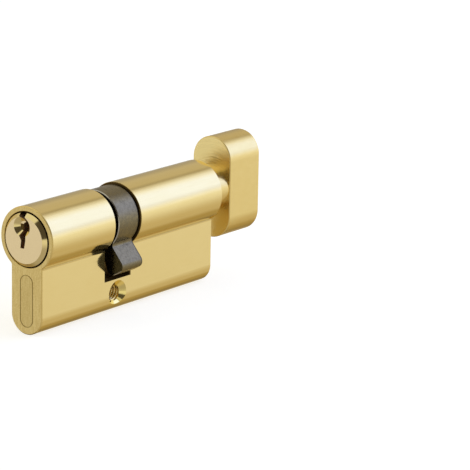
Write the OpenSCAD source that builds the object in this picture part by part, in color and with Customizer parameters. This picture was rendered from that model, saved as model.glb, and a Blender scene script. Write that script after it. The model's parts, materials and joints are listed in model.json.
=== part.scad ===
// Euro profile lock cylinder with a keyed half and a thumb-turn half.
// The barrel axis runs along X, from the keyed face at -X to the knob at +X.
// The origin is the centre of the fixing screw hole, and the web hangs below the barrel.

/* [Body] */
// From the fixing screw hole to the key face
key_half = 30; // [30:0.5:50]
// From the fixing screw hole to the thumb-turn face
thumb_half = 40; // [34:0.5:60]
// Diameter of the round barrel of the profile
barrel_d = 17; // [16.8:0.05:17.4]
// Width of the flat web under the barrel
web_w = 10; // [9.8:0.1:10.6]
// Height of the whole profile, barrel top to web bottom
body_h = 33; // [32.6:0.1:34]
// Barrel axis above the fixing screw hole
axis_h = 19.25; // [19:0.05:19.5]
// Bevel on the end faces and on the walls of the cam slot
edge_break = 0.25; // [0.15:0.05:0.35]
// Width of the stadium-shaped ring sunk into the web's key face
mark_w = 4.2; // [3.6:0.1:5]
// Height of that ring
mark_h = 13.6; // [11:0.1:14.5]
// Depth of the ring's groove, and its width
mark_line = 0.2; // [0.15:0.05:0.3]
// Radius in the corner between barrel and web
corner_r = 0.8; // [0.5:0.1:1.2]

/* [Fixing screw hole] */
// Core diameter of the M5 thread
screw_core_d = 4.2; // [4:0.1:4.5]
// Diameter of the countersunk mouths
screw_mouth_d = 7.1; // [6.4:0.1:7.2]
// Depth of each countersunk mouth
screw_mouth_depth = 1.3; // [0.9:0.1:1.5]

/* [Cam slot and cam] */
// Width of the slot that the cam turns in
slot_w = 10.2; // [10:0.1:11]
// Slot floor below the barrel axis
slot_floor = 15.25; // [15.2:0.05:15.35]
// Diameter of the cam's ring
cam_ring_d = 15.8; // [15.6:0.1:16.4]
// Free gap between the cam and the slot's thumb wall
cam_gap = 0.25; // [0.15:0.05:0.4]
// Gap between the cam and the slot's key wall, which the key plug's clip lies in
clip_gap = 1.9; // [1.7:0.1:2.1]
// Radius that the cam's lever reaches
cam_reach = 14.95; // [14.5:0.05:15]
// Angle of the lever from straight down, towards -Y
cam_angle = 30; // [-180:5:180]
// Half the lever's width where it leaves the ring
lever_root = 1.95; // [1.8:0.05:2.3]
// Half the lever's width near its tip
lever_tip = 2.7; // [2.4:0.05:2.9]
// Radius of the lever's two outer corners
lever_corner = 1.8; // [1.2:0.1:2.1]
// Radius in the corners between the ring and the lever
lever_fillet = 1.1; // [0.7:0.1:1.5]
// Bevel on the edges of the cam's ring and across the lever's tip
cam_bevel = 0.2; // [0.1:0.05:0.3]

/* [Plugs] */
// Radius of the plug bores in the casing
bore_r = 6.5; // [6.4:0.05:6.6]
// Running clearance between a plug and its bore
run_gap = 0.05; // [0.03:0.01:0.09]
// Radius of the key plug's flange
flange_r = 6.85; // [6.8:0.01:6.9]
// Radius of the counterbore that the flange sinks into
counterbore_r = 7.12; // [7.1:0.01:7.2]
// Depth of the counterbore
counterbore_depth = 1.5; // [1.3:0.1:1.8]
// Flange face in front of the key face
face_proud = 1; // [0.6:0.1:1.3]
// Bevel round the flange face
flange_bevel = 0.9; // [0.5:0.1:1]
// Diameter of the hollow that guides the key tip in
guide_d = 5.2; // [4.8:0.1:5.6]
// Height of that hollow's centre above the barrel axis
guide_h = 3.4; // [3.2:0.1:3.6]
// That centre to the side of the barrel axis, towards +Y
guide_side = 0.65; // [0.4:0.05:0.8]
// Depth of that hollow
guide_depth = 1.1; // [0.8:0.1:1.3]
// Radius of each plug's journal inside the cam
journal_r = 5.5; // [5.3:0.1:5.6]

/* [Clips and clutch] */
// Thickness of the two retaining clips
clip_t = 0.9; // [0.8:0.05:1]
// Outer radius of the retaining clips
clip_r = 7.05; // [7:0.05:7.1]
// Depth of the groove that each clip snaps into
clip_bite = 0.8; // [0.6:0.1:0.9]
// Half the width of the clutch's cross arms
cross_half = 1.2; // [1:0.1:1.4]
// Radius over the clutch's cross arms
cross_r = 4.7; // [4.5:0.1:4.8]
// Thickness of the sliding coupler
coupler_t = 2.1; // [2:0.1:2.3]
// Travel of the coupler into the cam
coupler_travel = 1.2; // [1:0.1:1.3]

/* [Pins] */
// First pin behind the key face
pin_first = 4.2; // [4:0.1:4.6]
// Pitch of the pins, where the plug is long enough for their row
pin_pitch = 4; // [3.9:0.05:4.1]
// Radius of the pin chambers
chamber_r = 1.5; // [1.45:0.05:1.6]
// Least wall between the last chamber and the cam slot
chamber_wall = 0.8; // [0.6:0.1:1]
// Clearance round each pin
pin_gap = 0.08; // [0.05:0.01:0.1]
// Length of the driver pins
driver_len = 4.6; // [4:0.1:5]
// Length of the plug that closes each chamber
chamber_plug_len = 2.2; // [2:0.1:2.6]
// Radius of the spring wire
wire_r = 0.18; // [0.15:0.01:0.2]
// Turns of each pin spring
spring_turns = 8; // [6:1:9]

/* [Knob] */
// Height of the knob
knob_h = 27.8; // [24:0.2:32]
// Width of the knob, which rounds its two ends
knob_w = 12.5; // [12:0.1:14]
// Thickness of the knob along the barrel axis
knob_t = 13.2; // [12:0.2:16]
// Knob's inner face in front of the thumb-turn face
knob_off = 6.3; // [5:0.1:8]
// Radius of the neck that carries the knob
neck_r = 5.95; // [5.6:0.05:6]
// Radius of the plug's tail inside the knob
tail_r = 4; // [3.6:0.1:4.2]
// Radius of the grub screw that holds the knob
grub_r = 1.65; // [1.5:0.05:2]

/* [Hidden] */
$fn = 96;

// Clear of a face by this much where two pieces meet without touching
touch = 0.02;
// Overshoot of a cut past the face that it opens
over = 1;

mouth_bevel = 0.2;
barrel_r = barrel_d / 2;
web_half = web_w / 2;
web_floor = body_h - barrel_r;
// The sunk ring stands midway between the key plug's counterbore and the web's bottom
mark_z = -(counterbore_r + web_floor) / 2;
round_z = web_floor - web_half;
slot_half = slot_w / 2;

// The cam fills the slot but for the clip's gap and its own free gap
cam_key_x = -slot_half + clip_gap;
cam_thumb_x = slot_half - cam_gap;
plug_r = bore_r - run_gap;
cam_bore_r = journal_r + run_gap;
clip_clearance = 0.06;
clip_lip = 0.6;
groove_r = plug_r - clip_bite;
// Each groove starts just past the slot's wall and ends inside the lip that holds the clip
key_groove = [-slot_half + clip_clearance, -slot_half + 2 * clip_clearance + clip_t];
thumb_groove = [slot_half - 2 * clip_clearance - clip_t, slot_half - clip_clearance];

// The clutch: the key plug's journal, the cam's cross wall, the thumb plug's cross
key_journal_end = -0.9;
cam_wall_x = key_journal_end + 0.1;
cam_wall_end = 2.3;
thumb_journal_x = cam_wall_end + 0.1;
thumb_cross_x = cam_wall_x + coupler_travel + 0.7;
coupler_x = key_journal_end - coupler_t;
cross_gap = 0.08;
clutch_spring_r = 1.35;
clutch_spring_hole = 1.75;
clutch_spring_len = 5.2;
clutch_spring_turns = 6;
clip_recess_x = thumb_groove[0] - clip_lip - 0.1;
clip_recess_r = clip_r + 0.15;

// The pins stand under the plug, with the shear line at the plug's surface
key_pin_lengths = [5.2, 6.4, 5.8, 7, 5.5];
pin_r = chamber_r - pin_gap;
pin_bevel = 0.25;
shear_gap = 0.12;
key_pin_foot = plug_r - shear_gap;
driver_top = bore_r + touch;
driver_foot = driver_top + driver_len;
chamber_plug_top = web_floor - chamber_plug_len;
chamber_top = 1.5;
chamber_cone = 0.9;
spring_coil_r = pin_r - wire_r - 0.1;
// The row of pins closes up where the plug is too short for its pitch
pin_room = key_half - pin_first - slot_half - chamber_wall - chamber_r;
pin_step = min(pin_pitch, pin_room / 4);
pin_ends = [for (i = [0 : 4]) -key_half + pin_first + i * pin_step];

// The keyway, seen along +X, as [y, z] from the barrel axis: up one side and down the other.
// Its top runs out through the top of the plug.
keyway_mouth = flange_r + over;
keyway_foot = 2.1;
keyway = [
    [-0.1, -keyway_foot], [-0.5, 0], [-0.5, 1.25], [-0.55, 2.4], [-1, 3.6], [-1.3, 4.2],
    [-1.15, 4.75], [-0.5, 5.4], [-0.25, 6.2], [-0.35, keyway_mouth], [1.95, keyway_mouth],
    [1.75, 6], [0.3, 5.2], [0.2, 4.55], [0.9, 4.05], [0.95, 2.9], [1.2, 1.85], [1.6, 1.1],
    [0.9, -0.1], [1.1, -keyway_foot]
];

// The knob is fixed to the plug's tail by a grub screw from its hidden flat side
knob_x = thumb_half + knob_off;
knob_end = knob_x + knob_t;
neck_gap = 0.3;
tail_end = knob_x + knob_t - 4;
grub_x = knob_x + knob_t / 2;
grub_seat = tail_r - 0.7;
grub_len = knob_w / 2 - grub_seat - 0.3;
knob_bevel = 0.2;

// Lays children with their Z axis along the barrel axis
module lay() {
    rotate([0, 90, 0]) children();
}

// Lifts children from the fixing hole to the barrel axis
module on_axis() {
    translate([0, 0, axis_h]) children();
}

// A rod from x0 to x1 on the barrel axis
module rod(x0, x1, r) {
    translate([x0, 0, 0]) lay() cylinder(r = r, h = x1 - x0);
}

// A rod with a bevel b on both ends
module bevelled_rod(x0, x1, r, b) {
    lay() rotate_extrude() polygon([
        [0, x0], [r - b, x0], [r, x0 + b], [r, x1 - b], [r - b, x1], [0, x1]
    ]);
}

// An upright slab from x0 to x1 and z0 to z1, half wide each way, with bevelled upright edges
module bevelled_slab(x0, x1, half, z0, z1, b) {
    translate([0, 0, z0]) linear_extrude(z1 - z0) polygon([
        [x0, -half + b], [x0 + b, -half], [x1 - b, -half], [x1, -half + b],
        [x1, half - b], [x1 - b, half], [x0 + b, half], [x0, half - b]
    ]);
}

// How far below the axis a round of radius f stands free of a rod of radius r, when it also
// touches a slab half wide each way
function corner_depth(r, half, f) = sqrt(pow(r + f, 2) - pow(half + f, 2));

// The concave strip of radius f where a rod of radius r meets the side of a slab below it:
// a wedge less a round
module corner_strip(x0, x1, side, r, half, f) {
    at = [corner_depth(r, half, f), side * (half + f)];
    translate([x0, 0, 0]) lay() linear_extrude(x1 - x0) difference() {
        polygon([[0, 0], at * r / (r + f), at, [at[0], side * half], [at[0], 0]]);
        translate(at) circle(f);
    }
}

// One half of the profile above the slot floor, from x0 to x1
module half_profile(x0, x1) {
    bevelled_rod(x0, x1, barrel_r, edge_break);
    bevelled_slab(x0, x1, web_half, -slot_floor - over, 0, edge_break);
    for (side = [-1, 1])
        corner_strip(x0 + edge_break, x1 - edge_break, side, barrel_r, web_half, corner_r);
}

module screw_hole() {
    rotate([90, 0, 0]) {
        cylinder(d = screw_core_d, h = web_w + 2 * over, center = true);
        for (side = [0, 1]) mirror([0, 0, side])
            translate([0, 0, web_half - screw_mouth_depth])
                cylinder(d1 = screw_core_d, d2 = screw_mouth_d, h = screw_mouth_depth + touch / 2);
    }
}

// A stadium outline, upright, w wide and h high
module stadium(w, h) {
    square([w, h - w], center = true);
    for (side = [-1, 1]) translate([0, side * (h - w) / 2]) circle(d = w);
}

// The ring sunk into the web's key face
module mark_ring() {
    translate([-key_half - over, 0, mark_z]) rotate([90, 0, 90])
        linear_extrude(mark_line + over) difference() {
            stadium(mark_w, mark_h);
            stadium(mark_w - 2 * mark_line, mark_h - 2 * mark_line);
        }
}

// The bevelled mouth of a bore r at the end face x, widening outwards
module mouth(x, r, inwards) {
    translate([x, 0, 0]) rotate([0, 90 * inwards, 0]) translate([0, 0, -touch])
        cylinder(r1 = r + mouth_bevel + touch, r2 = r, h = mouth_bevel + touch);
}

module casing() {
    color("#d3b565") difference() {
        union() {
            on_axis() {
                half_profile(-key_half, -slot_half);
                half_profile(slot_half, thumb_half);
                bevelled_slab(-key_half, thumb_half, web_half, -round_z, -slot_floor, edge_break);
                translate([0, 0, -round_z])
                    bevelled_rod(-key_half, thumb_half, web_half, edge_break);
            }
        }
        on_axis() {
            rod(-key_half - over, -slot_half + over, bore_r);
            rod(-key_half - over, -key_half + counterbore_depth, counterbore_r);
            mouth(-key_half, counterbore_r, 1);
            rod(slot_half - over, thumb_half + over, bore_r);
            mouth(thumb_half, bore_r, -1);
            mark_ring();
            for (x = pin_ends) translate([x, 0, -web_floor - over])
                cylinder(r = chamber_r, h = web_floor + over);
        }
        screw_hole();
    }
}

// The cross that couples plug, coupler and cam: four arms within the radius r
module cross(x0, x1, half, r) {
    intersection() {
        rod(x0, x1, r);
        translate([(x0 + x1) / 2, 0, 0]) union() {
            cube([x1 - x0 + over, 2 * half, 2 * r + over], center = true);
            cube([x1 - x0 + over, 2 * r + over, 2 * half], center = true);
        }
    }
}

module key_plug() {
    color("#d9bd70") on_axis() difference() {
        lay() rotate_extrude() polygon([
            [0, -key_half - face_proud],
            [flange_r - flange_bevel, -key_half - face_proud],
            [flange_r, -key_half - face_proud + flange_bevel],
            [flange_r, -key_half + counterbore_depth - touch],
            [plug_r, -key_half + counterbore_depth - touch],
            [plug_r, key_groove[0]],
            [groove_r, key_groove[0]],
            [groove_r, key_groove[1]],
            [plug_r, key_groove[1]],
            [plug_r, key_groove[1] + clip_lip],
            [journal_r, key_groove[1] + clip_lip],
            [journal_r, key_journal_end],
            [0, key_journal_end]
        ]);
        translate([-key_half - face_proud - over, 0, 0]) rotate([90, 0, 90])
            linear_extrude(key_half + face_proud + over + coupler_x) polygon(keyway);
        translate([-key_half - face_proud, guide_side, guide_h]) lay()
            cylinder(r1 = guide_d / 2, r2 = guide_d / 4, h = guide_depth);
        for (x = pin_ends) translate([x, 0, 0]) {
            translate([0, 0, -bore_r]) cylinder(r = chamber_r, h = bore_r + chamber_top);
            translate([0, 0, chamber_top])
                cylinder(r1 = chamber_r, r2 = chamber_r - chamber_cone, h = chamber_cone);
        }
        cross(coupler_x - touch, key_journal_end + over, cross_half + cross_gap, cross_r + cross_gap);
    }
}

module thumb_plug() {
    color("#cdb062") on_axis() difference() {
        union() {
            lay() rotate_extrude() polygon([
                [0, thumb_journal_x],
                [journal_r, thumb_journal_x],
                [journal_r, thumb_groove[0] - clip_lip],
                [plug_r, thumb_groove[0] - clip_lip],
                [plug_r, thumb_groove[0]],
                [groove_r, thumb_groove[0]],
                [groove_r, thumb_groove[1]],
                [plug_r, thumb_groove[1]],
                [plug_r, thumb_half - neck_gap],
                [tail_r, thumb_half - neck_gap],
                [tail_r, tail_end],
                [0, tail_end]
            ]);
            cross(thumb_cross_x, thumb_journal_x + over, cross_half, cross_r);
        }
        rod(thumb_cross_x - over, coupler_x + coupler_t + clutch_spring_len, clutch_spring_hole);
        translate([grub_x, grub_seat, 0]) rotate([-90, 0, 0])
            cylinder(r = grub_r + touch, h = tail_r);
    }
}

// The knob's grip: a flat bar with two full-round ends, all its edges bevelled
module knob_bar() {
    r = knob_w / 2;
    reach = knob_h / 2 - r;
    for (side = [-1, 1]) translate([0, 0, side * reach])
        bevelled_rod(knob_x, knob_end, r, knob_bevel);
    bevelled_slab(knob_x, knob_end, r, -reach, reach, knob_bevel);
}

module thumb_knob() {
    color("#dcc274") on_axis() difference() {
        union() {
            knob_bar();
            rod(thumb_half - neck_gap + touch, knob_x + over, neck_r);
        }
        rod(thumb_half - over, tail_end + 0.2, tail_r + touch);
        translate([grub_x, 0, 0]) rotate([-90, 0, 0]) cylinder(r = grub_r + touch, h = knob_w);
    }
}

module knob_grub_screw() {
    color("#4c4a47") on_axis() translate([grub_x, grub_seat + touch, 0]) rotate([-90, 0, 0])
        difference() {
            cylinder(r = grub_r, h = grub_len);
            translate([0, 0, grub_len - 1.2]) cylinder(r = grub_r / 2, h = 2, $fn = 6);
        }
}

// The lever's outline, pointing along +X of the sketch: it leaves the ring in two hollow
// corners and ends in two round ones. Its first points lie inside the ring.
function lever_outline() = let (
    ring_r = cam_ring_d / 2,
    free = [corner_depth(ring_r, lever_root, lever_fillet), lever_root + lever_fillet],
    lean = atan2(free[1], free[0]),
    inner = (ring_r - cam_bevel) * [cos(lean), sin(lean)],
    hollow = [for (k = [1 : 5]) let (a = lean + k * (90 - lean) / 5)
        free - lever_fillet * [cos(a), sin(a)]],
    reach = sqrt(pow(cam_reach, 2) - pow(lever_tip - lever_corner, 2)),
    at = [reach - lever_corner, lever_tip - lever_corner],
    corner = [for (a = [0 : 10 : 90]) at + lever_corner * [sin(a), cos(a)]],
    side = concat([[0, inner[1]], inner], hollow, corner)
) concat(side, [for (i = [len(side) - 1 : -1 : 0]) [side[i][0], -side[i][1]]]);

// The lever's tip, bevelled across both ends of its outer face
module lever_tip_bevels() {
    for (side = [0, 1]) translate([(cam_key_x + cam_thumb_x) / 2, 0, 0]) mirror([side, 0, 0])
        translate([(cam_thumb_x - cam_key_x) / 2, 0, -cam_reach]) rotate([90, 0, 0])
            linear_extrude(4 * lever_tip, center = true) polygon([
                [over, -over], [over, cam_bevel + over], [-cam_bevel - over, -over]
            ]);
}

module cam() {
    color("#5f5c58") on_axis() difference() {
        union() {
            bevelled_rod(cam_key_x, cam_thumb_x, cam_ring_d / 2, cam_bevel);
            rotate([-cam_angle, 0, 0]) difference() {
                translate([cam_key_x, 0, 0]) lay()
                    linear_extrude(cam_thumb_x - cam_key_x) polygon(lever_outline());
                lever_tip_bevels();
            }
        }
        rod(cam_key_x - over, cam_wall_x, cam_bore_r);
        cross(cam_wall_x - over, cam_wall_end + over, cross_half + cross_gap, cross_r + cross_gap);
        rod(cam_wall_end, cam_thumb_x + over, cam_bore_r);
        rod(clip_recess_x, cam_thumb_x + over, clip_recess_r);
    }
}

module key_coupler() {
    color("#8f8b84") on_axis() cross(coupler_x, coupler_x + coupler_t, cross_half, cross_r);
}

// A retaining clip: a flat ring open at the top, with its bore in the plug's groove
module clip(x0) {
    rotate([60, 0, 0]) difference() {
        rod(x0, x0 + clip_t, clip_r);
        rod(x0 - over, x0 + clip_t + over, groove_r + touch);
        translate([x0 - over, -1.4, 0]) cube([clip_t + 2 * over, 2.8, clip_r + over]);
    }
}

module key_side_clip() {
    color("#3c3a38") on_axis() clip(-slot_half + 1.5 * clip_clearance);
}

module thumb_side_clip() {
    color("#3c3a38") on_axis() clip(slot_half - 1.5 * clip_clearance - clip_t);
}

module key_pin(i) {
    reach = key_pin_lengths[i - 1];
    color("#c9a856") on_axis() translate([pin_ends[i - 1], 0, -key_pin_foot])
        rotate_extrude() polygon([
            [0, 0], [pin_r - pin_bevel, 0], [pin_r, pin_bevel], [pin_r, reach - chamber_cone],
            [pin_r - chamber_cone, reach], [0, reach]
        ]);
}

module driver_pin(i) {
    color("#c2a050") on_axis() translate([pin_ends[i - 1], 0, -driver_foot])
        rotate_extrude() polygon([
            [0, 0], [pin_r - pin_bevel, 0], [pin_r, pin_bevel], [pin_r, driver_len - pin_bevel],
            [pin_r - pin_bevel, driver_len], [0, driver_len]
        ]);
}

// A round wire of radius w wound on the radius r about Z, turns times over the height h
module coil(r, w, h, turns) {
    steps = turns * 12;
    sides = 6;
    rise = h - 2 * w;
    rings = [for (s = [0 : steps]) for (k = [0 : sides - 1]) let (
        turn = 360 * turns * s / steps,
        out = r + w * cos(360 * k / sides)
    ) [out * cos(turn), out * sin(turn), w + rise * s / steps + w * sin(360 * k / sides)]];
    walls = [for (s = [0 : steps - 1]) for (k = [0 : sides - 1]) let (
        a = s * sides + k,
        b = s * sides + (k + 1) % sides
    ) [a, a + sides, b + sides, b]];
    first = [for (k = [0 : sides - 1]) k];
    last = [for (k = [sides - 1 : -1 : 0]) steps * sides + k];
    polyhedron(rings, concat([first], walls, [last]));
}

module pin_spring(i) {
    color("#a9a59c") on_axis() translate([pin_ends[i - 1], 0, -chamber_plug_top + touch])
        coil(spring_coil_r, wire_r, chamber_plug_top - driver_foot - 2 * touch, spring_turns);
}

module coupler_spring() {
    color("#a9a59c") on_axis() translate([coupler_x + coupler_t + touch, 0, 0]) lay()
        coil(clutch_spring_r, wire_r, clutch_spring_len - 2 * touch, clutch_spring_turns);
}

// The driven plug that closes a chamber, filed to the round of the web
module chamber_plug(i) {
    color("#bf9f52") on_axis() intersection() {
        translate([pin_ends[i - 1], 0, -web_floor - over])
            cylinder(r = chamber_r - touch / 2, h = chamber_plug_len + over);
        translate([0, 0, -round_z]) rod(-key_half, 0, web_half);
    }
}

casing();
key_plug();
thumb_plug();
thumb_knob();
knob_grub_screw();
cam();
key_coupler();
coupler_spring();
key_side_clip();
thumb_side_clip();
for (i = [1 : 5]) {
    key_pin(i);
    driver_pin(i);
    pin_spring(i);
    chamber_plug(i);
}
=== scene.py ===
"""Dresses a brass euro profile cylinder with a thumb turn, and lays out its studio."""

import json
import math

import bpy
import numpy as np
from bpy.props import FloatProperty, FloatVectorProperty, PointerProperty
from mathutils import Matrix, Vector


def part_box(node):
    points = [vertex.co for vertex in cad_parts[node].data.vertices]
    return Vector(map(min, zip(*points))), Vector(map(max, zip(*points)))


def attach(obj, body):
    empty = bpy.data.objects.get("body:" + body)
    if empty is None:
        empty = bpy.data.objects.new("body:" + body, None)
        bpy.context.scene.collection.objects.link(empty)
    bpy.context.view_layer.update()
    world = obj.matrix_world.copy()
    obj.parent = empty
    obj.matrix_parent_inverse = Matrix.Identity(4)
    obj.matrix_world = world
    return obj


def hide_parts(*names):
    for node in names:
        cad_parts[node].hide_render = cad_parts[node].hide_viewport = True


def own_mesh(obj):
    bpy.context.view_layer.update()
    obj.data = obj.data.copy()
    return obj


bl_info = {
    "name": "Euro Cylinder Finishes",
    "version": (1, 0, 0),
    "blender": (4, 5, 0),
    "location": "View3D > Sidebar > Cylinder",
    "description": "Finishes, screw thread, springs and studio for a brass lock cylinder",
    "category": "Object",
}

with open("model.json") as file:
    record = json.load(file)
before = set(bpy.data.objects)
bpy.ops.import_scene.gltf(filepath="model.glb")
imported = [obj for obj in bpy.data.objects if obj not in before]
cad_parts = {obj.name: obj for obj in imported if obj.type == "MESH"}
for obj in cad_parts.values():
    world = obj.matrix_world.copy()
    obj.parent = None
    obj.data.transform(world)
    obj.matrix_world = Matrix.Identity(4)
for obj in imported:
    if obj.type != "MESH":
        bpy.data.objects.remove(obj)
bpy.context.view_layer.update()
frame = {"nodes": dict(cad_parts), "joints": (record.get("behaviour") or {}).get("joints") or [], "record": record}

MM = 0.001
BLACK, WHITE = (0, 0, 0), (1, 1, 1)
PINS = range(1, 6)

# Measures from the CAD. X runs from the key face along the barrel, Y through the web, Z up.
CASING_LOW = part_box("casing")[0]
JOINTS = {joint["name"]: joint for joint in frame["joints"]}
BARREL_AXIS_Z = JOINTS["thumb_turn"]["pos_m"][2]
SCREW_HOLE = next(m for m in frame["record"]["mounts"] if m["name"] == "fixing_screw_hole")
SCREW_CORE_R = SCREW_HOLE["dims"]["r_mm"] * MM
SCREW_LENGTH = SCREW_HOLE["dims"]["length_mm"] * MM

# How squarely a face looks along the barrel axis: where it turns into an end face, where it
# turns into a bevel, and up to where it is a wall along the axis
END_FACING = (0.9, 0.98)
BEVEL_FACING = (0.3, 0.6)
WALL_FACING = 0.25

# The cam slot: its dull walls and all above its floor, which have painted shade, its rim towards
# the key face, which has a painted highlight line, the web's side face beside it, and how far
# from the middle the casing's worn bevels start
SLOT_SHADE_X = (-5.12 * MM, 5.3 * MM)
SLOT_SHADE_Z = 3.98 * MM
SLOT_RIM_X = (-5.28 * MM, -5.05 * MM)
SLOT_FLOOR_Z = 4.0 * MM
WEB_FACE_Y = 4.98 * MM
BEVELS_X = 5.0 * MM
# Within this distance of the barrel axis the casing is dull, with painted shade in its bores
BORE_SHADE_R = 7.2 * MM
# The corner between barrel and web, which has a painted highlight: how far below the barrel axis
# it lies, and how far out
CORNER_BELOW_AXIS = (7.4 * MM, 5.9 * MM)
CORNER_OUT = (5.04 * MM, 6.1 * MM)
# The fixing hole's countersunk mouths: their radius, and how far out they lie
SCREW_MOUTH_R = 3.6 * MM
SCREW_MOUTH_Y = (3.65 * MM, WEB_FACE_Y)
# The groove on the web's end, which has painted shade: its depths behind the face, how far out
# it reaches, and how far below the barrel axis its top may lie
GROOVE_DEPTHS = (0.04 * MM, 0.4 * MM)
GROOVE_OUT = 3.2 * MM
GROOVE_BELOW_AXIS = 8.12 * MM
# The stadium inside the groove: how far below the barrel axis its middle lies, half the length
# of its straight sides, the radius of its ends, and how much duller it is
MARK_BELOW_AXIS = 15.81 * MM
MARK_STRAIGHT = 4.7 * MM
MARK_R = 2.1 * MM
MARK_SHADE = 0.18

# The key plug: its round sides lie beyond a radius and its keyway within one. Each place of
# painted shade starts this far in front of the casing's end, and the guide hollow's bottom has
# painted shade up to a height over the barrel axis.
PLUG_SIDE_R = 6.3 * MM
PLUG_SIDE_REACH = 0.05 * MM
KEYWAY_R = 6.4 * MM
KEYWAY_REACH = 0.85 * MM
HOLLOW_REACH = 0.4 * MM
HOLLOW_SHADE_Z = 3.9 * MM
# The thumb turn's inner face ends here, and the lathe's rings are this much deeper on it
KNOB_INNER_X = 46.4 * MM
DEEP_RING_TIMES = 9.0
# From here on towards the thumb turn the cam's rim has painted shade
CAM_SHADE_X = 4.55 * MM

# Sizes of the grain in the finishes, along X, Y and Z
CASING_CLOUDS = (6 * MM, 3 * MM, 3 * MM)
SAWN_SPECKLE = (0.35 * MM, 0.35 * MM, 0.35 * MM)
SAW_MARKS = (0.3 * MM, 0.3 * MM, 6 * MM)
TURNED_CLOUDS = (2.5 * MM, 1.2 * MM, 1.2 * MM)
FINE_PORES = (0.12 * MM, 0.12 * MM, 0.12 * MM)
STEEL_CLOUDS = (0.5 * MM, 0.5 * MM, 0.5 * MM)
FLOOR_CLOUDS = (0.2, 0.2, 0.2)
GRAIN_ROUGHNESS = 0.6
# Parts of a noise's range over which it takes a finish from one state to the other
NOISE_SPAN = (0.3, 0.7)
SPECKLE_SPAN = (0.35, 0.65)
PORE_SPAN = (0.3, 0.8)

# How far a finish's roughness falls below its level and rises above it
DRAWN_SPREAD = (0.03, 0.04)
SAWN_SPREAD = (0.06, 0.08)
TURNED_SIDE_SPREAD = (0.02, 0.05)
TURNED_FACE_SPREAD = (0.03, 0.05)
CAM_SPREAD = (0.06, 0.1)
STEEL_SPREAD = (0.05, 0.08)
# Least roughness of recesses and worn edges, and what the thumb turn has over polished brass
DULL_ROUGHNESS = 0.5
KNOB_DULLNESS = 0.12
# Roughness of the plain steels, and the share of their colour that their clouds keep
SCREW_ROUGHNESS = 0.4
CLIP_ROUGHNESS = 0.35
SPRING_ROUGHNESS = 0.22
STEEL_CLOUD_SHARE = 0.6
# Strength and depth of a finish's bump, and the share of it that polished streaks have
DRAWN_BUMP, DRAWN_STREAKS = (0.35, 0.02 * MM), 0.25
TURNED_BUMP, TURNED_STREAKS = (0.5, 0.01 * MM), 0.3
CAM_BUMP = (0.25, 0.015 * MM)
# Tints of brass that isn't polished after turning
THREAD_TINT = (0.9, 0.9, 0.9)
PIN_TINT = (0.92, 0.92, 0.92)

# The thread's ridge: steps a turn, how deep its foot is buried in the bore's wall, the height
# of its shoulders as a share of its own, and places across it as shares of the pitch
THREAD_STEPS = 40
THREAD_BURIED = 0.03 * MM
RIDGE_SHOULDER = 0.8
RIDGE_PLACES = (-0.4, -0.1, 0, 0.1, 0.4)
# The springs' coils: steps a turn, and sides of the wire
COIL_STEPS = 24
WIRE_SIDES = 8

# The room behind the camera is dark: its direction from the part, and the cosines at its edge
DARK_ROOM = (-0.659, -0.548, 0.513)
DARK_ROOM_RANGE = (math.cos(math.radians(34)), math.cos(math.radians(28)))
DARK_ROOM_COLOUR = (0.08, 0.07, 0.06)
# The wall beyond the thumb turn is a little dim, with the cosines where that begins and ends
FAR_WALL = (0.79, 0.61, 0.0)
FAR_WALL_RANGE = (0.86, 1.0)
FAR_WALL_SHADE = 0.28
# Heights of a direction between which the table brightens, and up to which it is steep
TABLE_RANGE = (-0.55, 0.0)
STEEP_RANGE = (-0.57, -0.45)
# Ways along Y between which a steep direction comes to the contact, and to the part's shade
CONTACT_RANGE = (-0.3, -0.1)
UNDER_RANGE = (0.04, 0.14)
UNDER_SHADE = 0.25
# Ways along Y from behind the part to before it, and the share of its light that the table
# has behind the part
FORWARD_RANGE = (0.3, -0.3)
HORIZON_BEHIND = 0.88
# The glow over the horizon: the height where it ends, and ways along Y between which it grows
GLOW_TOP = 0.22
GLOW_RANGE = (0.1, -0.3)
# Overhead the room has a dim line: ways along Y of its edges, and its shade
DIM_LINE_RANGES = ((-0.06, 0.0), (0.15, 0.04))
DIM_LINE_SHADE = 0.22
# The light on the side of the key face: ways along X between which it begins, and heights of a
# direction between which it grows
LEFT_SIDE_RANGE = (0.1, -0.2)
LEFT_RANGE = (-0.6, -0.1)

# The softbox: its length, how far it is shifted towards the thumb turn, and steps of a fade
SOFTBOX_LENGTH = 1.6
SOFTBOX_SHIFT = 0.9
SOFTBOX_STEPS = 7
# The floor: how far it reaches from the middle, and the darker share of its colour
FLOOR_REACH = 4.0
FLOOR_CLOUD_SHARE = 0.97
# The camera's aim, and its axes as seen from the part: to its right, up and back to it
CAMERA_AIM = (0.01925, -0.02795, 0.01558)
CAMERA_RIGHT = (0.59305, -0.80493, 0.01779)
CAMERA_UP = (0.18629, 0.15868, 0.96955)
CAMERA_BACK = (-0.78328, -0.57170, 0.24407)
CAMERA_SENSOR = 36


def colour_property(name, description, default):
    """A colour swatch of linear values."""
    return FloatVectorProperty(
        name=name, description=description, default=default,
        size=3, min=0.0, max=1.0, subtype="COLOR",
    )


def share_property(name, description, default):
    """A share between none and all."""
    return FloatProperty(
        name=name, description=description, default=default,
        min=0.0, max=1.0, subtype="FACTOR",
    )


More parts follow.
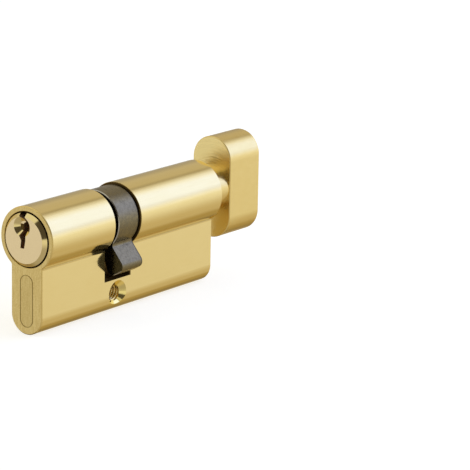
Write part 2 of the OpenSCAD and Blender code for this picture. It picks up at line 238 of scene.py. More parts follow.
class BrassSettings(bpy.types.PropertyGroup):
    """Colours and finishes of the brass"""
    polished: colour_property(
        "Polished brass", "Colour of the drawn and polished brass", (0.88, 0.715, 0.325))
    polished_deep: colour_property(
        "Polished brass, deeper streaks", "Colour in the streaks of the drawn brass",
        (0.84, 0.66, 0.27))
    sawn: colour_property(
        "Sawn brass", "Colour of the sawn end faces", (0.84, 0.65, 0.27))
    sawn_deep: colour_property(
        "Sawn brass, deeper grain", "Colour in the grain of the sawn end faces",
        (0.69, 0.51, 0.18))
    faced: colour_property(
        "Faced brass", "Colour of the key plug's turned face", (0.89, 0.71, 0.41))
    # Painted shade: a dark colour for the cam slot, the casing's bores, the gap round the key plug and its guide
    # hollow, where shade falls
    recess_shade: colour_property(
        "Recesses", "Colour of dull and greasy brass deep in the slot and bores",
        (0.11, 0.066, 0.018))
    edge: colour_property(
        "Edges", "Colour of the worn bevels", (0.84, 0.63, 0.22))
    # A painted highlight in the corners between barrel and web
    corner: colour_property(
        "Corners", "Colour of the bright corners between barrel and web", (1.0, 0.96, 0.72))
    mouth: colour_property(
        "Screw mouth", "Colour of the fixing hole's countersunk mouths", (0.9, 0.73, 0.26))
    # A painted highlight line on the slot's rim towards the key face
    rim: colour_property(
        "Slot rim", "Colour of the rubbed rim of the cam slot", (1.0, 0.97, 0.88))
    # Painted shade in the groove on the web's end; the stadium inside it takes a share of this colour as its print
    groove: colour_property(
        "Groove", "Colour of the dull groove on the web's end", (0.45, 0.34, 0.12))
    knob_faced: colour_property(
        "Knob face", "Colour of the thumb turn's turned inner face", (0.93, 0.75, 0.33))
    knob_tint: colour_property(
        "Knob tint", "Tint of the thumb turn's brass", (0.98, 0.955, 0.87))
    # Painted shade on the keyway's walls, deep in the key plug
    keyway: colour_property(
        "Keyway", "Colour of the dull keyway walls", (0.62, 0.42, 0.26))
    polished_roughness: share_property(
        "Polished roughness", "Roughness of the drawn brass", 0.1)
    sawn_roughness: share_property(
        "Sawn roughness", "Roughness of the sawn end faces", 0.34)
    turned_roughness: share_property(
        "Turned roughness", "Roughness of turned brass faces", 0.2)
    streak_width: FloatProperty(
        name="Streak width", description="Width of a streak in the drawn brass",
        default=0.25 * MM, min=0.05 * MM, unit="LENGTH")
    streak_length: FloatProperty(
        name="Streak length", description="Length of a streak in the drawn brass",
        default=8 * MM, min=MM, unit="LENGTH")
    turning_pitch: FloatProperty(
        name="Turning pitch", description="Distance between the rings that turning leaves",
        default=0.22 * MM, min=0.05 * MM, unit="LENGTH")


class SteelSettings(bpy.types.PropertyGroup):
    """Colours and finishes of the steel"""
    cam: colour_property(
        "Cam steel", "Colour of the sintered cam", (0.23, 0.19, 0.105))
    cam_deep: colour_property(
        "Cam steel, pores", "Colour in the pores of the sintered cam", (0.165, 0.14, 0.083))
    # A painted highlight on the cam's edges towards the key face
    cam_edge_highlight: colour_property(
        "Cam edge", "Colour of the cam's rubbed edge", (0.5, 0.46, 0.36))
    # Painted shade on the cam's sides and its rim towards the thumb turn
    cam_sides_shade: colour_property(
        "Cam sides", "Colour of the cam's greasy sides", (0.06, 0.055, 0.04))
    cam_roughness: share_property(
        "Cam roughness", "Roughness of the sintered cam", 0.27)
    pore_size: FloatProperty(
        name="Pore size", description="Size of the mottling on the sintered cam",
        default=0.7 * MM, min=0.1 * MM, unit="LENGTH")
    black: colour_property(
        "Black steel", "Colour of clips and grub screw", (0.05, 0.048, 0.044))
    spring: colour_property(
        "Spring steel", "Colour of the spring wire", (0.56, 0.54, 0.5))


class ThreadSettings(bpy.types.PropertyGroup):
    """Sizes of the fixing hole's thread"""
    pitch: FloatProperty(
        name="Thread pitch", description="Pitch of the M5 thread",
        default=0.8 * MM, min=0.4 * MM, unit="LENGTH")
    depth: FloatProperty(
        name="Thread depth", description="Height of the ridge inside the core bore",
        default=0.32 * MM, min=0.1 * MM, unit="LENGTH")


class SpringSettings(bpy.types.PropertyGroup):
    """Sizes of the springs"""
    wire_r: FloatProperty(
        name="Wire radius", description="Radius of the springs' wire",
        default=0.18 * MM, min=0.05 * MM, unit="LENGTH")
    turns: FloatProperty(
        name="Turns", description="Turns of each spring", default=8, min=1)


class StudioSettings(bpy.types.PropertyGroup):
    """Lights, floor and camera"""
    room: colour_property(
        "Room", "Light of the room above the horizon", (0.6, 0.54, 0.43))
    horizon: colour_property(
        "Horizon", "Light of the pale table towards the horizon", (0.97, 0.98, 1.0))
    table: colour_property(
        "Table", "Light of the table beneath the part, warmed by the brass", (0.62, 0.53, 0.36))
    contact: colour_property(
        "Contact", "Light of the table straight under the part", (0.46, 0.35, 0.15))
    left_high: colour_property(
        "Left side", "Light from the side of the key face", (0.83, 0.83, 0.8))
    left_low: colour_property(
        "Left side, low", "Light from below on the side of the key face", (0.46, 0.43, 0.41))
    softbox_level: FloatProperty(
        name="Softbox level", description="Brightness of the softbox", default=1.95,
        min=0.0, max=4.0)
    softbox_colour: colour_property(
        "Softbox colour", "Colour of the softbox", (0.265, 0.4, 0.96))
    softbox_warm: colour_property(
        "Softbox high colour", "Colour of the softbox where it fades upwards",
        (0.4, 0.53, 0.96))
    softbox_low: FloatProperty(
        name="Softbox low edge", description="Angle of the softbox's low edge round the barrel",
        default=math.radians(-7), subtype="ANGLE")
    softbox_low_fade: FloatProperty(
        name="Low fade", description="Angle over which the softbox fades to its low edge",
        default=math.radians(35), subtype="ANGLE")
    softbox_high: FloatProperty(
        name="Softbox high edge", description="Angle of the softbox's high edge round the barrel",
        default=math.radians(95), subtype="ANGLE")
    softbox_high_fade: FloatProperty(
        name="High fade", description="Angle over which the softbox fades to its high edge",
        default=math.radians(42), subtype="ANGLE")
    softbox_distance: FloatProperty(
        name="Softbox distance", description="Distance of the softbox from the barrel's axis",
        default=0.6, min=0.2, unit="LENGTH")
    floor_colour: colour_property("Floor colour", "Colour of the floor", (0.5, 0.5, 0.44))
    floor_lift: share_property(
        "Floor lift", "Brightness that the camera sees on the floor beside its light", 0.72)
    camera_distance: FloatProperty(
        name="Camera distance", description="Distance of the camera from its aim",
        default=0.69567, min=0.1, unit="LENGTH")
    camera_lens: FloatProperty(
        name="Lens", description="Focal length of the camera", default=207.95, min=10,
        unit="CAMERA")


def eased(share):
    """The share with a gentle start and end: three times its square less twice its cube."""
    return share * share * (3 - 2 * share)


def grid_mesh(name, points, wrap):
    """A mesh through an array of points, rows by columns, whose columns may wrap round."""
    rows, columns = points.shape[:2]
    across = columns if wrap else columns - 1
    row, column = np.meshgrid(np.arange(rows - 1), np.arange(across), indexing="ij")
    following = (column + 1) % columns
    quads = np.stack([
        row * columns + column,
        (row + 1) * columns + column,
        (row + 1) * columns + following,
        row * columns + following,
    ], axis=-1).reshape(-1, 4)
    mesh = bpy.data.meshes.new(name)
    mesh.vertices.add(rows * columns)
    mesh.vertices.foreach_set("co", points.reshape(-1).astype(np.float32))
    mesh.loops.add(quads.size)
    mesh.loops.foreach_set("vertex_index", quads.reshape(-1).astype(np.int32))
    mesh.polygons.add(len(quads))
    mesh.polygons.foreach_set("loop_start", np.arange(0, quads.size, 4, dtype=np.int32))
    mesh.update(calc_edges=True)
    mesh.validate()
    return mesh


def add_object(name, data):
    """An object of that data in the scene."""
    made = bpy.data.objects.new(name, data)
    bpy.context.scene.collection.objects.link(made)
    return made


def add_surface(name, points, wrap, material):
    """A piece over an array of points, in one material."""
    piece = add_object(name, grid_mesh(name, points, wrap))
    piece.data.materials.append(material)
    return piece


def thread_points(core_r, length, pitch, depth):
    """Points of a thread ridge: a trapezium carried along a helix about Y.

    At the angle a the helix has risen pitch * a / a full turn. Across the ridge a point
    lies at the radius core_r less its height, and its offset along Y. Over the first and
    the last half turn the height and the offset shrink to nothing.
    """
    turns = length / pitch - 1
    along = np.linspace(0, 1, int(turns * THREAD_STEPS) + 1)
    angle = 2 * math.pi * turns * along
    fade = eased(np.clip(np.minimum(along, 1 - along) * turns * 2, 0, 1))[:, None]
    shoulder = depth * RIDGE_SHOULDER
    height = np.array([-THREAD_BURIED, shoulder, depth, shoulder, -THREAD_BURIED])
    radius = core_r + THREAD_BURIED - fade * (height + THREAD_BURIED)[None, :]
    offset = np.array(RIDGE_PLACES) * pitch
    y = (-turns * pitch / 2 + turns * pitch * along)[:, None] + fade * offset[None, :]
    x = radius * np.sin(angle)[:, None]
    z = radius * np.cos(angle)[:, None]
    return np.stack([x, y, z], axis=-1)


def coil_points(low, high, along, wire_r, turns):
    """Points of a wire wound into a box: a circle carried along a helix.

    The helix runs along one of the box's axes and turns evenly about its middle, its radius
    half the box's width less the wire's. The circle lies in the plane of that axis and the
    helix's own radius.
    """
    across = [axis for axis in range(3) if axis != along]
    middle = (np.array(low) + np.array(high)) / 2
    helix_r = (high[across[0]] - low[across[0]]) / 2 - wire_r
    angle = np.linspace(0, 2 * math.pi * turns, int(turns * COIL_STEPS) + 1)[:, None]
    round_wire = np.linspace(0, 2 * math.pi, WIRE_SIDES, endpoint=False)[None, :]
    radius = helix_r + wire_r * np.cos(round_wire)
    height = np.linspace(low[along] + wire_r, high[along] - wire_r, len(angle))[:, None]
    points = np.empty((len(angle), WIRE_SIDES, 3))
    points[..., along] = height + wire_r * np.sin(round_wire)
    points[..., across[0]] = middle[across[0]] + radius * np.cos(angle)
    points[..., across[1]] = middle[across[1]] + radius * np.sin(angle)
    return points


def add_spring(node, body, settings, steel, along, foot_end):
    """A coil in a CAD spring's place.

    The coil lies along X, Y or Z, which are 0, 1 and 2, and its foot is at the low end of
    that axis, 0, or at the high one, 1.
    """
    low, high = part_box(node)
    points = coil_points(low, high, along, settings.wire_r, settings.turns)
    coil = add_surface(f"{node}_coil", points, True, steel)
    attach(coil, body)
    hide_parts(node)
    foot = (Vector(low) + Vector(high)) / 2
    foot[along] = (low, high)[foot_end][along]
    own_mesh(coil)


def new_material(name):
    """A node material with only its shader and output, and their tree."""
    material = bpy.data.materials.new(name)
    material.use_nodes = True
    tree = material.node_tree
    return material, tree, tree.nodes["Principled BSDF"]


def add_node(tree, kind, inputs=None, **settings):
    """A node with its settings made. Each input is a value or another node's output."""
    made = tree.nodes.new(kind)
    for key, value in settings.items():
        setattr(made, key, value)
    for key, value in (inputs or {}).items():
        if isinstance(value, bpy.types.NodeSocket):
            tree.links.new(value, made.inputs[key])
        else:
            made.inputs[key].default_value = value
    return made


def math_of(tree, operation, first, second=0.0):
    """The result of one operation."""
    return add_node(tree, "ShaderNodeMath", {0: first, 1: second}, operation=operation).outputs[0]


def times(tree, first, second):
    """The two multiplied: of two masks, one where both are one."""
    return math_of(tree, "MULTIPLY", first, second)


def larger(tree, first, second):
    """The larger of the two."""
    return math_of(tree, "MAXIMUM", first, second)


def size_of(tree, value):
    """The value without its sign."""
    return math_of(tree, "ABSOLUTE", value)


def squares_of(tree, first, second):
    """The two squares together."""
    return math_of(tree, "ADD", times(tree, first, first), times(tree, second, second))


def above(tree, value, edge):
    """One above the edge, and nothing below it."""
    return math_of(tree, "GREATER_THAN", value, edge)


def below(tree, value, edge):
    """One below the edge, and nothing above it."""
    return math_of(tree, "LESS_THAN", value, edge)


def within(tree, value, low, high):
    """One between the two edges, and nothing outside them."""
    return times(tree, above(tree, value, low), below(tree, value, high))


def ramp_of(tree, value, low, high, to_low=0.0, to_high=1.0):
    """The value's way from low to high, eased, as a way from to_low to to_high."""
    return add_node(
        tree, "ShaderNodeMapRange",
        {"Value": value, "From Min": low, "From Max": high, "To Min": to_low, "To Max": to_high},
        interpolation_type="SMOOTHSTEP",
    ).outputs["Result"]


def uneven(tree, noise, level, spread):
    """A roughness that the noise takes from below its level to above it."""
    return ramp_of(tree, noise, *NOISE_SPAN, level - spread[0], level + spread[1])


def mix_numbers(tree, factor, first, second):
    """A number on its way from the first to the second."""
    return add_node(
        tree, "ShaderNodeMix", {0: factor, 2: first, 3: second}, data_type="FLOAT").outputs[0]


def mix_colours(tree, factor, first, second):
    """A colour on its way from the first to the second."""
    made = tree.nodes.new("ShaderNodeMix")
    made.data_type = "RGBA"
    for socket, value in zip((made.inputs[0], made.inputs[6], made.inputs[7]),
                             (factor, first, second)):
        if isinstance(value, bpy.types.NodeSocket):
            tree.links.new(value, socket)
        elif socket == made.inputs[0]:
            socket.default_value = value
        else:
            socket.default_value = (*value, 1)
    return made.outputs[2]


def tinted(colour, tint):
    """The colour times the tint."""
    return tuple(t * c for t, c in zip(tint, colour))


def grain(tree, size, detail=2.0):
    """Noise on the piece's own coordinates whose grain has this size along each axis."""
    place = add_node(tree, "ShaderNodeTexCoord").outputs["Object"]
    scaled = add_node(
        tree, "ShaderNodeVectorMath", {0: place, 1: tuple(1 / s for s in size)},
        operation="MULTIPLY")
    return add_node(
        tree, "ShaderNodeTexNoise",
        {"Vector": scaled.outputs[0], "Scale": 1.0, "Detail": detail,
         "Roughness": GRAIN_ROUGHNESS},
    ).outputs["Fac"]


def place_of(tree):
    """The place along X, Y and Z, and the distance from the barrel axis."""
    place = add_node(tree, "ShaderNodeTexCoord").outputs["Object"]
    x, y, z = add_node(tree, "ShaderNodeSeparateXYZ", {0: place}).outputs
    rise = math_of(tree, "SUBTRACT", z, BARREL_AXIS_Z)
    return x, y, z, math_of(tree, "SQRT", squares_of(tree, y, rise))


def turning_rings(tree, pitch):
    """Rings about the barrel axis, as a lathe leaves them on a face across that axis."""
    along = times(tree, place_of(tree)[3], 1 / pitch)
    return add_node(
        tree, "ShaderNodeTexNoise", {"W": along, "Scale": 1.0, "Detail": 2.0},
        noise_dimensions="1D").outputs["Fac"]


def facing(tree):
    """How squarely the surface faces along the barrel axis, from none to one."""
    normal = add_node(tree, "ShaderNodeTexCoord").outputs["Normal"]
    return size_of(tree, add_node(tree, "ShaderNodeSeparateXYZ", {0: normal}).outputs[0])


def end_face_share(tree):
    """One on faces across the barrel axis, and nothing on faces along it."""
    return ramp_of(tree, facing(tree), *END_FACING)


def edge_share(tree):
    """One on bevels, which face neither along the barrel axis nor across it."""
    level = facing(tree)
    return times(tree, ramp_of(tree, level, *BEVEL_FACING),
                 ramp_of(tree, level, *END_FACING, 1.0, 0.0))


def casing_recess_shade(tree):
    """One inside the cam slot and the bores of the casing, where shade is painted, and nothing elsewhere."""
    x, y, z, radius = place_of(tree)
    slot = times(tree, within(tree, x, *SLOT_SHADE_X), above(tree, z, SLOT_SHADE_Z))
    return larger(tree, slot, below(tree, radius, BORE_SHADE_R))


def casing_corner_highlight(tree):
    """One along the corners between the barrel and the web, where a highlight is painted."""
    x, y, z, radius = place_of(tree)
    low, high = (BARREL_AXIS_Z - lower for lower in CORNER_BELOW_AXIS)
    return times(tree, within(tree, size_of(tree, y), *CORNER_OUT), within(tree, z, low, high))


def casing_bevels(tree):
    """One on the casing's bevels outside the cam slot."""
    return times(tree, edge_share(tree), above(tree, size_of(tree, place_of(tree)[0]), BEVELS_X))


def slot_rim_highlight(tree):
    """One on the web's rim of the cam slot, on the side of the key face, where a highlight line is painted."""
    x, y, z, radius = place_of(tree)
    height = within(tree, z, SLOT_FLOOR_Z, BARREL_AXIS_Z - CORNER_BELOW_AXIS[1])
    outside = above(tree, size_of(tree, y), WEB_FACE_Y)
    return times(tree, times(tree, height, outside), within(tree, x, *SLOT_RIM_X))


def screw_mouth(tree):
    """One on the countersunk mouths of the fixing screw's hole."""
    x, y, z, radius = place_of(tree)
    return times(tree, below(tree, squares_of(tree, x, z), SCREW_MOUTH_R ** 2),
                 within(tree, size_of(tree, y), *SCREW_MOUTH_Y))


def end_mark(tree):
    """One on the stadium inside the groove on the web's end."""
    x, y, z, radius = place_of(tree)
    rise = size_of(tree, math_of(tree, "SUBTRACT", z, BARREL_AXIS_Z - MARK_BELOW_AXIS))
    beyond = larger(tree, math_of(tree, "SUBTRACT", rise, MARK_STRAIGHT), 0.0)
    return times(tree, below(tree, squares_of(tree, y, beyond), MARK_R ** 2),
                 below(tree, x, CASING_LOW.x + GROOVE_DEPTHS[0]))


def end_groove(tree):
    """One in the stadium-shaped groove on the web's end, where shade is painted."""
    x, y, z, radius = place_of(tree)
    inside = times(tree, below(tree, size_of(tree, y), GROOVE_OUT),
                   below(tree, z, BARREL_AXIS_Z - GROOVE_BELOW_AXIS))
    shallow, deep = (CASING_LOW.x + depth for depth in GROOVE_DEPTHS)
    return times(tree, inside, within(tree, x, shallow, deep))


def key_plug_side(tree):
    """One on the key plug's round sides inside the casing, where shade is painted in the gap."""
    x, y, z, radius = place_of(tree)
    return times(tree, above(tree, x, CASING_LOW.x - PLUG_SIDE_REACH),
                 above(tree, radius, PLUG_SIDE_R))


def keyway_walls(tree):
    """One on the keyway's walls, where shade is painted."""
    x, y, z, radius = place_of(tree)
    walls = times(tree, below(tree, facing(tree), WALL_FACING),
                  above(tree, x, CASING_LOW.x - KEYWAY_REACH))
    return times(tree, below(tree, radius, KEYWAY_R), walls)


def hollow_bottom(tree):
    """One on the lower part of the guide hollow's bottom, where shade is painted."""
    x, y, z, radius = place_of(tree)
    bottom = times(tree, above(tree, x, CASING_LOW.x - HOLLOW_REACH),
                   above(tree, facing(tree), END_FACING[0]))
    return times(tree, below(tree, z, BARREL_AXIS_Z + HOLLOW_SHADE_Z), bottom)


def knob_inner_face(tree):
    """One on the thumb turn's face towards the casing."""
    return below(tree, place_of(tree)[0], KNOB_INNER_X)


def make_metal(tree, shader, colour, roughness, height=None, bump=None):
    """Gives the shader a metal's colour and roughness, and the bump of its height."""
    tree.links.new(colour, shader.inputs["Base Color"])
    tree.links.new(roughness, shader.inputs["Roughness"])
    shader.inputs["Metallic"].default_value = 1.0
    if bump:
        strength, distance = bump
        bumped = add_node(
            tree, "ShaderNodeBump",
            {"Height": height, "Strength": strength, "Distance": distance})
        tree.links.new(bumped.outputs[0], shader.inputs["Normal"])


def drawn_brass(settings):
    """Brass drawn and polished along X, with sawn and grainy end faces."""
    material, tree, shader = new_material("casing_drawn_brass")
    width, length = settings.streak_width, settings.streak_length
    streaks = grain(tree, (length, width, width))
    speckle = times(tree, math_of(
        tree, "ADD", grain(tree, SAWN_SPECKLE, detail=4.0), grain(tree, SAW_MARKS)), 0.5)
    ends, bevels, recess_shade = end_face_share(tree), casing_bevels(tree), casing_recess_shade(tree)

    polished = mix_colours(
        tree, times(tree, streaks, grain(tree, CASING_CLOUDS)), settings.polished,
        settings.polished_deep)
    # A painted highlight in the corners between barrel and web
    polished = mix_colours(tree, casing_corner_highlight(tree), polished, settings.corner)
    sawn = mix_colours(
        tree, ramp_of(tree, speckle, *SPECKLE_SPAN), settings.sawn, settings.sawn_deep)
    colour = mix_colours(tree, ends, polished, sawn)
    # Over it go the worn bevels, the stadium's print, painted shade in the groove, the screw mouths, a painted
    # highlight on the slot's rim and painted shade in the slot and bores
    for share, wear_and_painted_light in (
        (bevels, settings.edge),
        (times(tree, end_mark(tree), MARK_SHADE), settings.groove),
        (end_groove(tree), settings.groove),
        (screw_mouth(tree), settings.mouth),
        (slot_rim_highlight(tree), settings.rim),
        (recess_shade, settings.recess_shade),
    ):
        colour = mix_colours(tree, share, colour, wear_and_painted_light)

    roughness = mix_numbers(
        tree, ends, uneven(tree, streaks, settings.polished_roughness, DRAWN_SPREAD),
        uneven(tree, speckle, settings.sawn_roughness, SAWN_SPREAD))
    dull = times(tree, larger(tree, recess_shade, bevels), DULL_ROUGHNESS)
    height = mix_numbers(tree, ends, times(tree, streaks, DRAWN_STREAKS), speckle)
    make_metal(tree, shader, colour, larger(tree, roughness, dull), height, DRAWN_BUMP)
    return material


def turned_brass(name, settings, tint=WHITE, faced=None, shaded_recesses=(), dull_edges=False,
                 deep_rings=None, dullness=0.0):
    """Brass turned on a lathe: fine rings on its faces, polished along its sides.

    Each place of painted shade is a function that gives one inside it, and the colour of that
    shade. The function for deep rings gives one where the lathe's rings are deep. The dullness
    adds to the roughness of the sides.
    """
    material, tree, shader = new_material(name)
    width, length = settings.streak_width, settings.streak_length
    streaks = grain(tree, (length, width, width))
    clouds = grain(tree, TURNED_CLOUDS)
    rings = turning_rings(tree, settings.turning_pitch)
    ends = end_face_share(tree)
    # Painted shade in the recesses, and the worn edges
    wear_and_painted_light = [(share_of(tree), colour) for share_of, colour in shaded_recesses]
    if dull_edges:
        wear_and_painted_light.insert(0, (edge_share(tree), settings.edge))

    colour = mix_colours(tree, clouds, tinted(settings.polished, tint),
                         tinted(settings.polished_deep, tint))
    if faced:
        colour = mix_colours(tree, ends, colour, faced)
    roughness = mix_numbers(
        tree, ends,
        uneven(tree, streaks, settings.polished_roughness + dullness, TURNED_SIDE_SPREAD),
        uneven(tree, clouds, settings.turned_roughness, TURNED_FACE_SPREAD))
    for share, dark in wear_and_painted_light:
        colour = mix_colours(tree, share, colour, dark)
        roughness = larger(tree, roughness, times(tree, share, DULL_ROUGHNESS))
    if deep_rings:
        depth = ramp_of(tree, deep_rings(tree), 0.0, 1.0, 1.0, DEEP_RING_TIMES)
        rings = times(tree, rings, depth)
    height = mix_numbers(tree, ends, times(tree, streaks, TURNED_STREAKS), rings)
    make_metal(tree, shader, colour, roughness, height, TURNED_BUMP)
    return material


def sintered_steel(settings):
    """Sintered steel: dark grey, mottled by its pores, with painted shade on its sides and rim and a painted
    highlight on its edges towards the key face.
    """
    material, tree, shader = new_material("cam_sintered_steel")
    size = settings.pore_size
    mottle = grain(tree, (size, size, size), detail=5.0)
    x = place_of(tree)[0]
    # Painted shade on the end faces and on the rim towards the thumb turn
    shaded = larger(tree, end_face_share(tree), above(tree, x, CAM_SHADE_X))
    # A painted highlight on the edges towards the key face
    highlighted = times(tree, edge_share(tree), below(tree, x, 0.0))
    colour = mix_colours(
        tree, ramp_of(tree, mottle, *PORE_SPAN), settings.cam, settings.cam_deep)
    colour = mix_colours(tree, shaded, colour, settings.cam_sides_shade)
    colour = mix_colours(tree, highlighted, colour, settings.cam_edge_highlight)
    make_metal(tree, shader, colour, uneven(tree, mottle, settings.cam_roughness, CAM_SPREAD),
               grain(tree, FINE_PORES, detail=3.0), CAM_BUMP)
    return material


def plain_steel(name, colour, roughness):
    """Steel with a slight cloudiness in its colour and its gloss."""
    material, tree, shader = new_material(name)
    clouds = grain(tree, STEEL_CLOUDS, detail=3.0)
    deep = tuple(STEEL_CLOUD_SHARE * c for c in colour)
    make_metal(tree, shader, mix_colours(tree, clouds, colour, deep),
               uneven(tree, clouds, roughness, STEEL_SPREAD))
    return material


def dress(material, *nodes):
    """Puts the material on these nodes' own slots."""
    for name in nodes:
        for slot in frame["nodes"][name].material_slots:
            slot.material = material


def towards(tree, direction, aim):
    """The cosine between the direction and an aim."""
    return add_node(
        tree, "ShaderNodeVectorMath", {0: direction, 1: Vector(aim).normalized()},
        operation="DOT_PRODUCT").outputs["Value"]


def studio_world(settings):
    """White for the camera. For everything else a pale table below and a dimmer room above."""
    world = bpy.data.worlds.new("studio")
    world.use_nodes = True
    tree = world.node_tree
    tree.nodes.clear()
    direction = add_node(tree, "ShaderNodeTexCoord").outputs["Generated"]
    x, y, z = add_node(tree, "ShaderNodeSeparateXYZ", {0: direction}).outputs

    steep = ramp_of(tree, z, *STEEP_RANGE, 1.0, 0.0)
    contact = times(tree, ramp_of(tree, y, *CONTACT_RANGE), steep)
    under = times(tree, ramp_of(tree, y, *UNDER_RANGE, 0.0, UNDER_SHADE), steep)
    forward = ramp_of(tree, y, *FORWARD_RANGE, HORIZON_BEHIND, 1.0)
    table = mix_colours(tree, ramp_of(tree, z, *TABLE_RANGE), settings.table, settings.horizon)
    table = mix_colours(tree, contact, table, settings.contact)
    table = mix_colours(tree, under, table, BLACK)
    table = mix_colours(tree, forward, BLACK, table)

    glow = times(tree, ramp_of(tree, z, GLOW_TOP, 0.0), ramp_of(tree, y, *GLOW_RANGE))
    line = times(tree, ramp_of(tree, y, *DIM_LINE_RANGES[0]),
                 ramp_of(tree, y, *DIM_LINE_RANGES[1], 0.0, DIM_LINE_SHADE))
    room = mix_colours(tree, glow, settings.room, settings.horizon)
    room = mix_colours(tree, line, room, BLACK)

    left = mix_colours(tree, ramp_of(tree, z, *LEFT_RANGE), settings.left_low, settings.left_high)
    far_wall = ramp_of(
        tree, towards(tree, direction, FAR_WALL), *FAR_WALL_RANGE, 0.0, FAR_WALL_SHADE)
    dark = ramp_of(tree, towards(tree, direction, DARK_ROOM), *DARK_ROOM_RANGE)
    around = mix_colours(tree, above(tree, z, 0.0), table, room)
    around = mix_colours(tree, ramp_of(tree, x, *LEFT_SIDE_RANGE), around, left)
    around = mix_colours(tree, far_wall, around, BLACK)
    around = mix_colours(tree, dark, around, DARK_ROOM_COLOUR)

    sees = add_node(tree, "ShaderNodeLightPath").outputs["Is Camera Ray"]
    seen = mix_colours(tree, sees, around, WHITE)
    background = add_node(tree, "ShaderNodeBackground", {"Color": seen, "Strength": 1.0})
    output = tree.nodes.new("ShaderNodeOutputWorld")
    tree.links.new(background.outputs[0], output.inputs[0])
    bpy.context.scene.world = world


def floor_material(settings):
    """A pale floor for the camera, which reflections see as the world's own pale table."""
    material, tree, shader = new_material("pale_floor")
    tree.nodes.remove(shader)
    dim = tuple(FLOOR_CLOUD_SHARE * c for c in settings.floor_colour)
    colour = mix_colours(tree, grain(tree, FLOOR_CLOUDS), settings.floor_colour, dim)
    paint = add_node(tree, "ShaderNodeBsdfDiffuse", {"Color": colour})
    lift = add_node(
        tree, "ShaderNodeEmission", {"Color": (*WHITE, 1), "Strength": settings.floor_lift})
    seen = add_node(tree, "ShaderNodeAddShader", {0: paint.outputs[0], 1: lift.outputs[0]})
    clear = add_node(tree, "ShaderNodeBsdfTransparent")
    sees = add_node(tree, "ShaderNodeLightPath").outputs["Is Camera Ray"]
    both = add_node(
        tree, "ShaderNodeMixShader", {0: sees, 1: clear.outputs[0], 2: seen.outputs[0]})
    tree.links.new(both.outputs[0], tree.nodes["Material Output"].inputs[0])
    return material


def add_floor(settings):
    """A flat square floor, level with the part's lowest point."""
    corner = np.array([-FLOOR_REACH, FLOOR_REACH])
    x, y = np.meshgrid(corner, corner, indexing="ij")
    flat = np.stack([x, y, np.full_like(x, CASING_LOW.z)], axis=-1)
    add_surface("floor", flat, False, floor_material(settings))


def place_by_axes(placed, centre, *axes):
    """Sets the object at the centre, with its own X, Y and Z along these axes."""
    placed.matrix_world = Matrix.Translation(centre) @ Matrix(axes).transposed().to_4x4()


def add_band(settings, name, low, high, share, colour):
    """One even band of the softbox between two angles round the barrel, from -Y upwards."""
    low, high = (
        Vector((0, 0, BARREL_AXIS_Z))
        + settings.softbox_distance * Vector((0, -math.cos(a), math.sin(a)))
        for a in (low, high)
    )
    width = (high - low).length
    lamp = bpy.data.lights.new(name, "AREA")
    lamp.shape = "RECTANGLE"
    lamp.size = SOFTBOX_LENGTH
    lamp.size_y = width
    lamp.color = colour
    lamp.energy = share * settings.softbox_level * math.pi * SOFTBOX_LENGTH * width
    along, across = Vector((1, 0, 0)), (high - low).normalized()
    place_by_axes(add_object(name, lamp), (low + high) / 2 + SOFTBOX_SHIFT * along,
                  along, across, along.cross(across))


def add_softbox(settings):
    """A softbox whose long edges run along the barrel, and which fades to both of them.

    Towards its high edge its colour warms as it fades, and is all warm from half light on.
    """
    low, high = settings.softbox_low, settings.softbox_high
    full_low, full_high = low + settings.softbox_low_fade, high - settings.softbox_high_fade
    cool, warm = Vector(settings.softbox_colour), Vector(settings.softbox_warm)
    add_band(settings, "softbox", full_low, full_high, 1.0, cool)
    for name, edge, full, faded in (("low", low, full_low, cool), ("high", high, full_high, warm)):
        steps = np.linspace(edge, full, SOFTBOX_STEPS + 1)
        for i in range(SOFTBOX_STEPS):
            share = eased((i + 0.5) / SOFTBOX_STEPS)
            colour = cool.lerp(faded, min(1.0, 2 - 2 * share))
            add_band(settings, f"softbox_{name}_fade_{i + 1}", *sorted(steps[i:i + 2]), share,
                     colour)


def add_camera(settings):
    """A camera that sees the part as the photograph does."""
    camera = bpy.data.cameras.new("camera")
    camera.lens = settings.camera_lens
    camera.sensor_width = CAMERA_SENSOR
    placed = add_object("camera", camera)
    centre = Vector(CAMERA_AIM) + settings.camera_distance * Vector(CAMERA_BACK)
    place_by_axes(placed, centre, CAMERA_RIGHT, CAMERA_UP, CAMERA_BACK)
    bpy.context.scene.camera = placed


class CYLINDER_OT_casing(bpy.types.Operator):
    """Finishes the casing and the plugs that close its chambers"""
    bl_idname = "cylinder.casing"
    bl_label = "Finish the casing"

    def execute(self, context):
        brass = drawn_brass(context.scene.cylinder_brass)
        dress(brass, "casing", *[f"chamber_plug_{i}" for i in PINS])
        return {"FINISHED"}


class CYLINDER_OT_screw_thread(bpy.types.Operator):
    """Adds the ridge of the fixing screw's thread"""
    bl_idname = "cylinder.screw_thread"
    bl_label = "Add the screw thread"

    def execute(self, context):
        settings = context.scene.cylinder_thread
        points = thread_points(SCREW_CORE_R, SCREW_LENGTH, settings.pitch, settings.depth)
        brass = turned_brass("thread_cut_brass", context.scene.cylinder_brass, THREAD_TINT)
        thread = add_surface("fixing_hole_thread", points, True, brass)
        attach(thread, "casing")
        return {"FINISHED"}


class CYLINDER_OT_plugs(bpy.types.Operator):
    """Finishes the key plug and the thumb plug"""
    bl_idname = "cylinder.plugs"
    bl_label = "Finish the plugs"

    def execute(self, context):
        settings = context.scene.cylinder_brass
        # Painted shade in the gap round the key plug, on the guide hollow's bottom and on the keyway's walls
        shaded_recesses = ((key_plug_side, settings.recess_shade), (hollow_bottom, settings.recess_shade),
                    (keyway_walls, settings.keyway))
        dress(turned_brass("key_plug_brass", settings, faced=settings.faced, shaded_recesses=shaded_recesses),
              "key_plug")
        dress(turned_brass("thumb_plug_brass", settings), "thumb_plug")
        return {"FINISHED"}


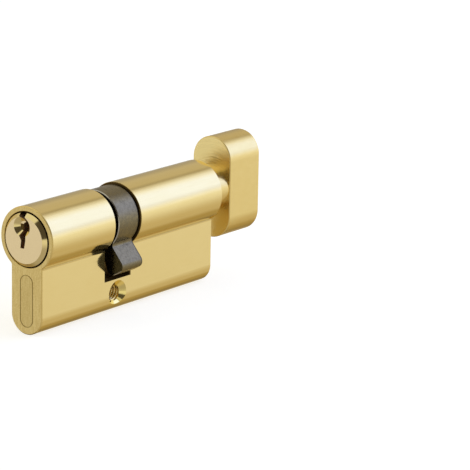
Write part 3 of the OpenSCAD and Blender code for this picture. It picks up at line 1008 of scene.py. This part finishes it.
class CYLINDER_OT_knob(bpy.types.Operator):
    """Finishes the thumb turn and its grub screw"""
    bl_idname = "cylinder.knob"
    bl_label = "Finish the thumb turn"

    def execute(self, context):
        settings = context.scene.cylinder_brass
        knob = turned_brass(
            "knob_turned_brass", settings, tint=settings.knob_tint, faced=settings.knob_faced,
            dull_edges=True, deep_rings=knob_inner_face, dullness=KNOB_DULLNESS)
        dress(knob, "thumb_knob")
        black = context.scene.cylinder_steel.black
        dress(plain_steel("screw_black_steel", black, SCREW_ROUGHNESS), "knob_grub_screw")
        return {"FINISHED"}


class CYLINDER_OT_cam(bpy.types.Operator):
    """Finishes the cam, its coupler and the two clips"""
    bl_idname = "cylinder.cam"
    bl_label = "Finish the cam"

    def execute(self, context):
        settings = context.scene.cylinder_steel
        dress(sintered_steel(settings), "cam", "key_coupler")
        dress(plain_steel("clip_black_steel", settings.black, CLIP_ROUGHNESS),
              "key_side_clip", "thumb_side_clip")
        return {"FINISHED"}


class CYLINDER_OT_pins(bpy.types.Operator):
    """Finishes the key pins and the driver pins"""
    bl_idname = "cylinder.pins"
    bl_label = "Finish the pins"

    def execute(self, context):
        brass = turned_brass("pin_turned_brass", context.scene.cylinder_brass, PIN_TINT)
        dress(brass, *[f"{kind}_pin_{i}" for kind in ("key", "driver") for i in PINS])
        return {"FINISHED"}


class CYLINDER_OT_springs(bpy.types.Operator):
    """Winds the springs of the pins and of the coupler"""
    bl_idname = "cylinder.springs"
    bl_label = "Add the springs"

    def execute(self, context):
        settings = context.scene.cylinder_springs
        steel = plain_steel(
            "spring_bright_steel", context.scene.cylinder_steel.spring, SPRING_ROUGHNESS)
        dress(steel, *[f"pin_spring_{i}" for i in PINS], "coupler_spring")
        for i in PINS:
            add_spring(f"pin_spring_{i}", "casing", settings, steel,
                       along=2, foot_end=0)
        add_spring("coupler_spring", "thumb_turn", settings, steel,
                   along=0, foot_end=1)
        return {"FINISHED"}


class CYLINDER_OT_stage(bpy.types.Operator):
    """Lays the floor, lights the part and places the camera"""
    bl_idname = "cylinder.stage"
    bl_label = "Set the stage"

    def execute(self, context):
        settings = context.scene.cylinder_studio
        add_floor(settings)
        studio_world(settings)
        add_softbox(settings)
        add_camera(settings)
        context.scene.view_settings.view_transform = "Standard"
        return {"FINISHED"}


class CYLINDER_PT_panel(bpy.types.Panel):
    """Lists the pieces of the cylinder and their settings"""
    bl_idname = "CYLINDER_PT_panel"
    bl_label = "Euro Cylinder"
    bl_space_type = "VIEW_3D"
    bl_region_type = "UI"
    bl_category = "Cylinder"

    def draw(self, context):
        for operator in OPERATORS:
            self.layout.operator(operator.bl_idname)
        for group, settings in SETTINGS.items():
            box = self.layout.box()
            for name in settings.__annotations__:
                box.prop(getattr(context.scene, group), name)


SETTINGS = {
    "cylinder_brass": BrassSettings,
    "cylinder_steel": SteelSettings,
    "cylinder_thread": ThreadSettings,
    "cylinder_springs": SpringSettings,
    "cylinder_studio": StudioSettings,
}
OPERATORS = (
    CYLINDER_OT_casing,
    CYLINDER_OT_screw_thread,
    CYLINDER_OT_plugs,
    CYLINDER_OT_knob,
    CYLINDER_OT_cam,
    CYLINDER_OT_pins,
    CYLINDER_OT_springs,
    CYLINDER_OT_stage,
)


def register():
    for made in (*SETTINGS.values(), *OPERATORS, CYLINDER_PT_panel):
        bpy.utils.register_class(made)
    for group, settings in SETTINGS.items():
        setattr(bpy.types.Scene, group, PointerProperty(type=settings))


def unregister():
    for group in SETTINGS:
        delattr(bpy.types.Scene, group)
    for made in reversed((*SETTINGS.values(), *OPERATORS, CYLINDER_PT_panel)):
        bpy.utils.unregister_class(made)


def main():
    register()
    for operator in OPERATORS:
        group, name = operator.bl_idname.split(".")
        getattr(getattr(bpy.ops, group), name)()
    bpy.context.view_layer.update()


if __name__ == "__main__":
    main()
